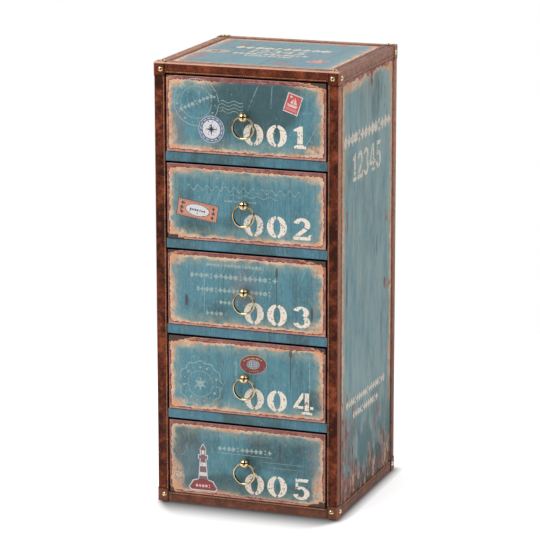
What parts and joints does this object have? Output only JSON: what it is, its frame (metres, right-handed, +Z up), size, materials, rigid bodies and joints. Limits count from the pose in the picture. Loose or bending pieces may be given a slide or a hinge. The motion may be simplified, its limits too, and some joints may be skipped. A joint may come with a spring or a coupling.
{
  "type": "drawer cabinet",
  "caption": "Narrow upright drawer cabinet in steamer-trunk style, with leather-edged boards, brass corner nails and a hanging brass ring pull on each drawer.",
  "frame": {"origin": "on the floor, under the centre of the whole box with its ring pulls hanging", "axes": "+X to the cabinet's right as seen from the front, +Y towards the back (the drawers face -Y), +Z up"},
  "size_m": [0.3468, 0.351, 0.8034],
  "materials": {
    "printed_board": "fibreboard under a worn teal print with a satin coat",
    "leather": "red-brown grained leather edging with a satin sheen",
    "brass": "polished pale brass",
    "drawer_wood": "plain sanded softwood",
    "dowel_wood": "fluted beech dowels",
    "hardboard": "brown hardboard",
    "zinc_steel": "zinc-plated steel",
    "black_plastic": "matt black moulded plastic",
    "thread": "waxed tan sewing thread",
    "paper_label": "aged printed paper"
  },
  "bodies": {
    "carcass": {"left_side_board": "printed_board", "right_side_board": "printed_board", "top_board": "printed_board", "bottom_board": "printed_board", "back_board": "printed_board", "shelf_1": "printed_board", "shelf_2": "printed_board", "shelf_3": "printed_board", "shelf_4": "printed_board", "carcass_dowels": "dowel_wood", "front_top_edging": "leather", "front_bottom_edging": "leather", "front_left_edging": "leather", "front_right_edging": "leather", "back_edging": "leather", "top_side_edging": "leather", "bottom_side_edging": "leather", "corner_patches": "leather", "corner_nails": "brass", "floor_glides": "black_plastic"},
    "drawer_1": {"drawer_1_front": "printed_board", "drawer_1_left_side": "drawer_wood", "drawer_1_right_side": "drawer_wood", "drawer_1_back": "drawer_wood", "drawer_1_bottom": "hardboard", "drawer_1_pull_post": "brass", "drawer_1_pull_screw": "zinc_steel"},
    "drawer_1_ring": {"drawer_1_pull_ring": "brass"},
    "drawer_2": {"drawer_2_front": "printed_board", "drawer_2_left_side": "drawer_wood", "drawer_2_right_side": "drawer_wood", "drawer_2_back": "drawer_wood", "drawer_2_bottom": "hardboard", "drawer_2_pull_post": "brass", "drawer_2_pull_screw": "zinc_steel"},
    "drawer_2_ring": {"drawer_2_pull_ring": "brass"},
    "drawer_3": {"drawer_3_front": "printed_board", "drawer_3_left_side": "drawer_wood", "drawer_3_right_side": "drawer_wood", "drawer_3_back": "drawer_wood", "drawer_3_bottom": "hardboard", "drawer_3_pull_post": "brass", "drawer_3_pull_screw": "zinc_steel"},
    "drawer_3_ring": {"drawer_3_pull_ring": "brass"},
    "drawer_4": {"drawer_4_front": "printed_board", "drawer_4_left_side": "drawer_wood", "drawer_4_right_side": "drawer_wood", "drawer_4_back": "drawer_wood", "drawer_4_bottom": "hardboard", "drawer_4_pull_post": "brass", "drawer_4_pull_screw": "zinc_steel"},
    "drawer_4_ring": {"drawer_4_pull_ring": "brass"},
    "drawer_5": {"drawer_5_front": "printed_board", "drawer_5_left_side": "drawer_wood", "drawer_5_right_side": "drawer_wood", "drawer_5_back": "drawer_wood", "drawer_5_bottom": "hardboard", "drawer_5_pull_post": "brass", "drawer_5_pull_screw": "zinc_steel"},
    "drawer_5_ring": {"drawer_5_pull_ring": "brass"}
  },
  "joints": [
    {"name": "drawer_1_slide", "type": "slide", "parent": "carcass", "child": "drawer_1", "axis": [0, -1, 0], "range_m": [0, 0.24]},
    {"name": "drawer_2_slide", "type": "slide", "parent": "carcass", "child": "drawer_2", "axis": [0, -1, 0], "range_m": [0, 0.24]},
    {"name": "drawer_3_slide", "type": "slide", "parent": "carcass", "child": "drawer_3", "axis": [0, -1, 0], "range_m": [0, 0.24]},
    {"name": "drawer_4_slide", "type": "slide", "parent": "carcass", "child": "drawer_4", "axis": [0, -1, 0], "range_m": [0, 0.24]},
    {"name": "drawer_5_slide", "type": "slide", "parent": "carcass", "child": "drawer_5", "axis": [0, -1, 0], "range_m": [0, 0.24]},
    {"name": "drawer_1_ring_swing", "type": "hinge", "parent": "drawer_1", "child": "drawer_1_ring", "pos_m": [0, -0.16685, 0.71459], "axis": [-1, 0, 0], "range_deg": [-15, 195]},
    {"name": "drawer_2_ring_swing", "type": "hinge", "parent": "drawer_2", "child": "drawer_2_ring", "pos_m": [0, -0.16685, 0.55907], "axis": [-1, 0, 0], "range_deg": [-15, 195]},
    {"name": "drawer_3_ring_swing", "type": "hinge", "parent": "drawer_3", "child": "drawer_3_ring", "pos_m": [0, -0.16685, 0.40355], "axis": [-1, 0, 0], "range_deg": [-15, 195]},
    {"name": "drawer_4_ring_swing", "type": "hinge", "parent": "drawer_4", "child": "drawer_4_ring", "pos_m": [0, -0.16685, 0.24803], "axis": [-1, 0, 0], "range_deg": [-15, 195]},
    {"name": "drawer_5_ring_swing", "type": "hinge", "parent": "drawer_5", "child": "drawer_5_ring", "pos_m": [0, -0.16685, 0.09251], "axis": [-1, 0, 0], "range_deg": [-15, 195]}
  ]
}
